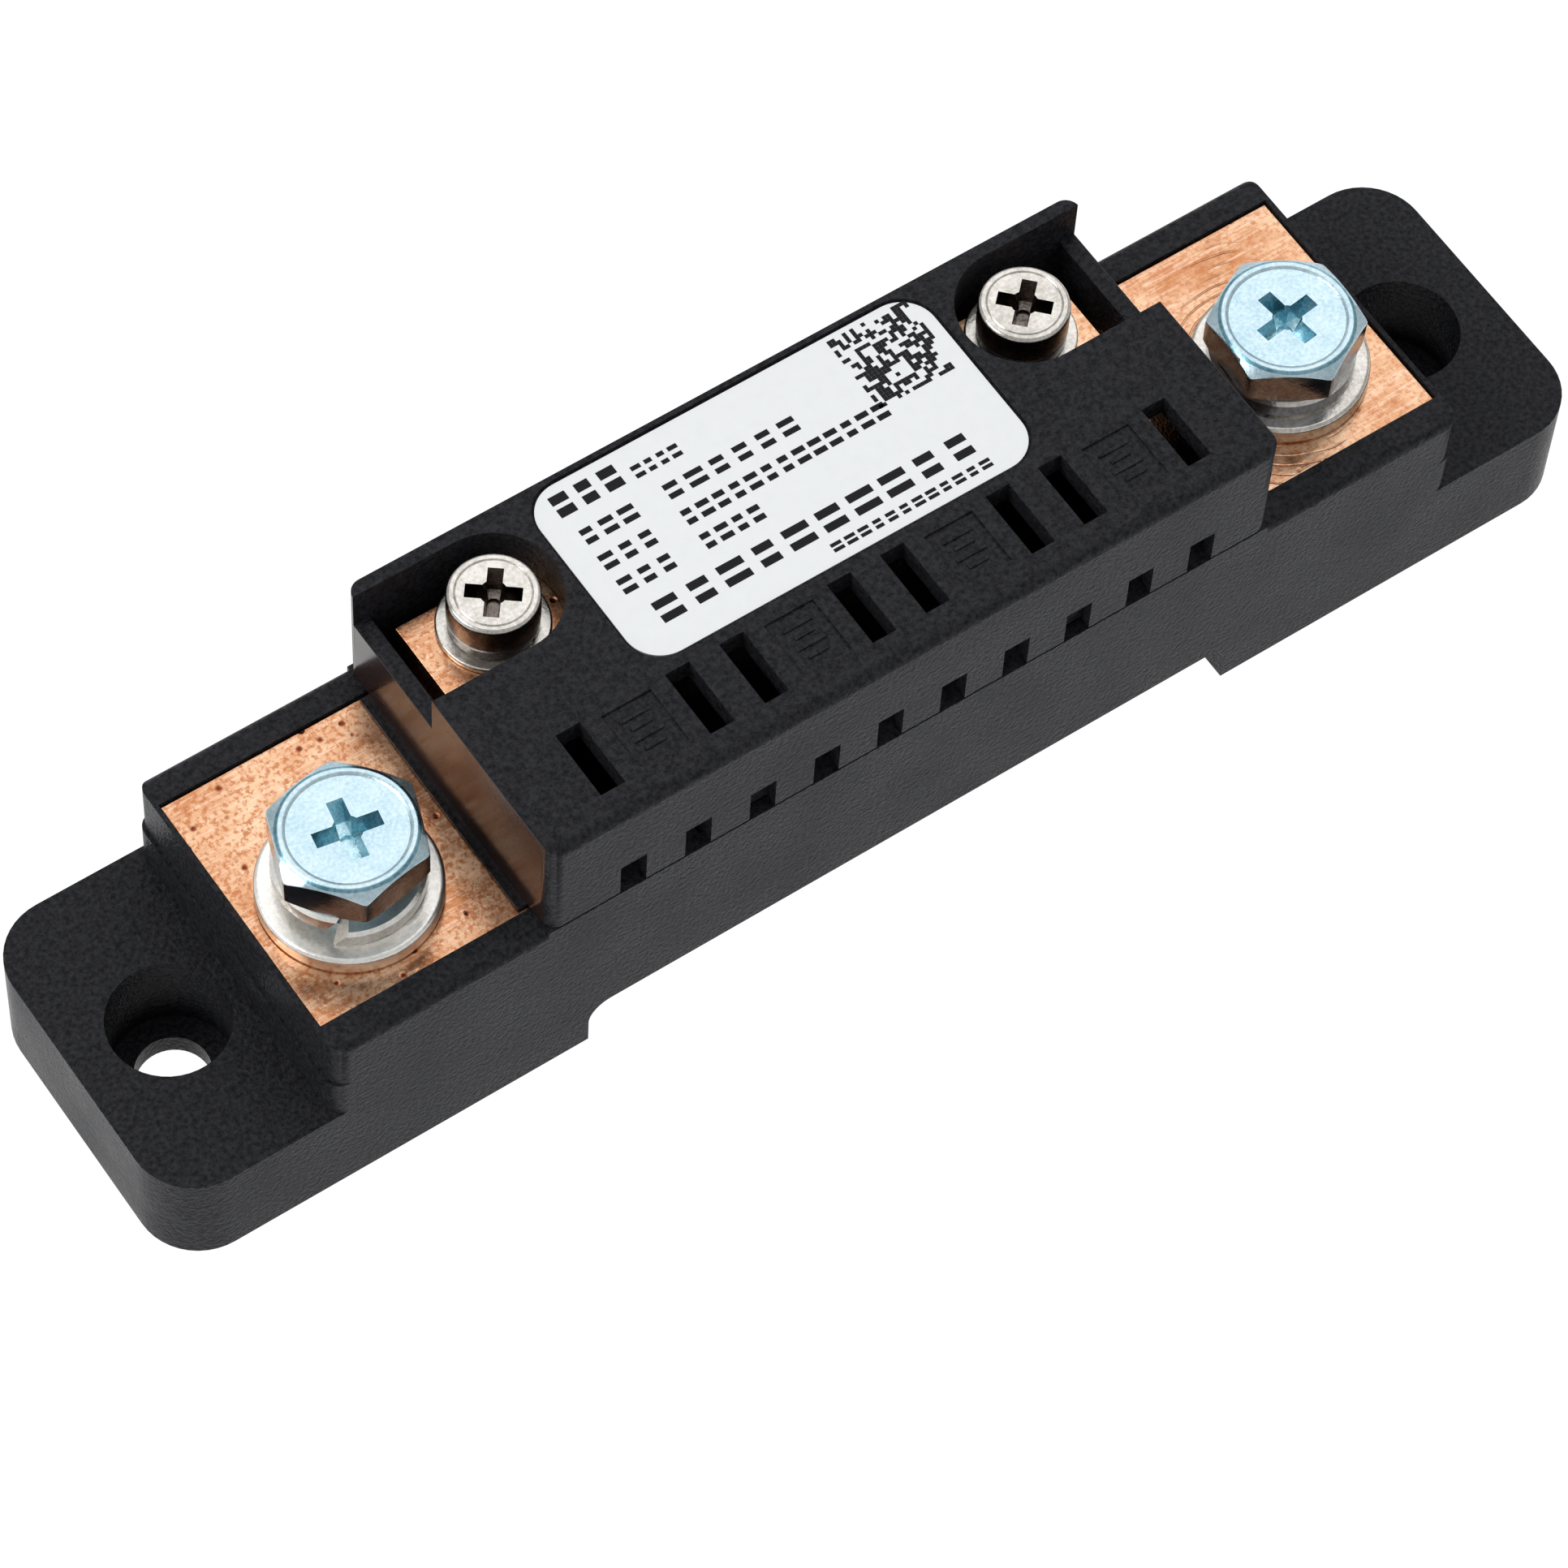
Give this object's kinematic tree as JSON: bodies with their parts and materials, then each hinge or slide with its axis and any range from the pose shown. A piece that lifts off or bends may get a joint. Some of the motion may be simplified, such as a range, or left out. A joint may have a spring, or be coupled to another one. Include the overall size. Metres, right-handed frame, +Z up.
{
  "type": "battery monitor shunt",
  "caption": "Base-mounted current shunt: moulded base with end mounting holes, copper terminal blocks with hex power bolts, and a slotted cover with pockets for the sense screws.",
  "frame": {"origin": "centre of the underside, on the surface that the base is screwed to", "axes": "+X along the shunt from the left terminal to the right one, -Y the front with the ventilation slots, +Z up"},
  "size_m": [0.12, 0.0252, 0.0282],
  "materials": {
    "moulded_plastic": "black moulded plastic with a fine grain",
    "label_paper": "smooth white self-adhesive label",
    "bare_copper": "bare copper, lightly scratched and pitted",
    "resistance_alloy": "dull copper manganese alloy",
    "blue_zinc_steel": "blue-white zinc plated steel",
    "nickel_steel": "nickel plated steel"
  },
  "bodies": {
    "shunt": {"base": "moulded_plastic", "cover": "moulded_plastic", "rating_label": "label_paper", "terminal_block_left": "bare_copper", "terminal_block_right": "bare_copper", "resistance_strip_front": "resistance_alloy", "resistance_strip_middle": "resistance_alloy", "resistance_strip_back": "resistance_alloy", "block_screw_left": "blue_zinc_steel", "block_screw_right": "blue_zinc_steel"},
    "left_terminal_washers": {"terminal_spring_washer_left": "nickel_steel", "terminal_flat_washer_left": "nickel_steel"},
    "left_terminal_screw": {"terminal_bolt_left": "blue_zinc_steel"},
    "right_terminal_washers": {"terminal_spring_washer_right": "nickel_steel", "terminal_flat_washer_right": "nickel_steel"},
    "right_terminal_screw": {"terminal_bolt_right": "blue_zinc_steel"},
    "left_sense_washers": {"sense_spring_washer_left": "nickel_steel", "sense_flat_washer_left": "nickel_steel"},
    "left_sense_screw": {"sense_screw_left": "nickel_steel"},
    "right_sense_washers": {"sense_spring_washer_right": "nickel_steel", "sense_flat_washer_right": "nickel_steel"},
    "right_sense_screw": {"sense_screw_right": "nickel_steel"}
  },
  "joints": [
    {"name": "left_terminal_lift", "type": "slide", "parent": "shunt", "child": "left_terminal_washers", "axis": [0, 0, 1], "range_m": [0, 0.006]},
    {"name": "left_terminal_turn", "type": "hinge", "parent": "left_terminal_washers", "child": "left_terminal_screw", "pos_m": [-0.0393, -0.0023, 0], "axis": [0, 0, 1], "range_deg": [0, 2160]},
    {"name": "right_terminal_lift", "type": "slide", "parent": "shunt", "child": "right_terminal_washers", "axis": [0, 0, 1], "range_m": [0, 0.006]},
    {"name": "right_terminal_turn", "type": "hinge", "parent": "right_terminal_washers", "child": "right_terminal_screw", "pos_m": [0.0388, -0.002, 0], "axis": [0, 0, 1], "range_deg": [0, 2160]},
    {"name": "left_sense_lift", "type": "slide", "parent": "shunt", "child": "left_sense_washers", "axis": [0, 0, 1], "range_m": [0, 0.0042]},
    {"name": "left_sense_turn", "type": "hinge", "parent": "left_sense_washers", "child": "left_sense_screw", "pos_m": [-0.02195, 0.0067, 0], "axis": [0, 0, 1], "range_deg": [0, 2160]},
    {"name": "right_sense_lift", "type": "slide", "parent": "shunt", "child": "right_sense_washers", "axis": [0, 0, 1], "range_m": [0, 0.0042]},
    {"name": "right_sense_turn", "type": "hinge", "parent": "right_sense_washers", "child": "right_sense_screw", "pos_m": [0.02195, 0.0067, 0], "axis": [0, 0, 1], "range_deg": [0, 2160]}
  ],
  "couplings": [
    {"joint": "left_terminal_turn", "follows": "left_terminal_lift", "rad_per_m": 6283.2},
    {"joint": "right_terminal_turn", "follows": "right_terminal_lift", "rad_per_m": 6283.2},
    {"joint": "left_sense_turn", "follows": "left_sense_lift", "rad_per_m": 8976},
    {"joint": "right_sense_turn", "follows": "right_sense_lift", "rad_per_m": 8976}
  ]
}
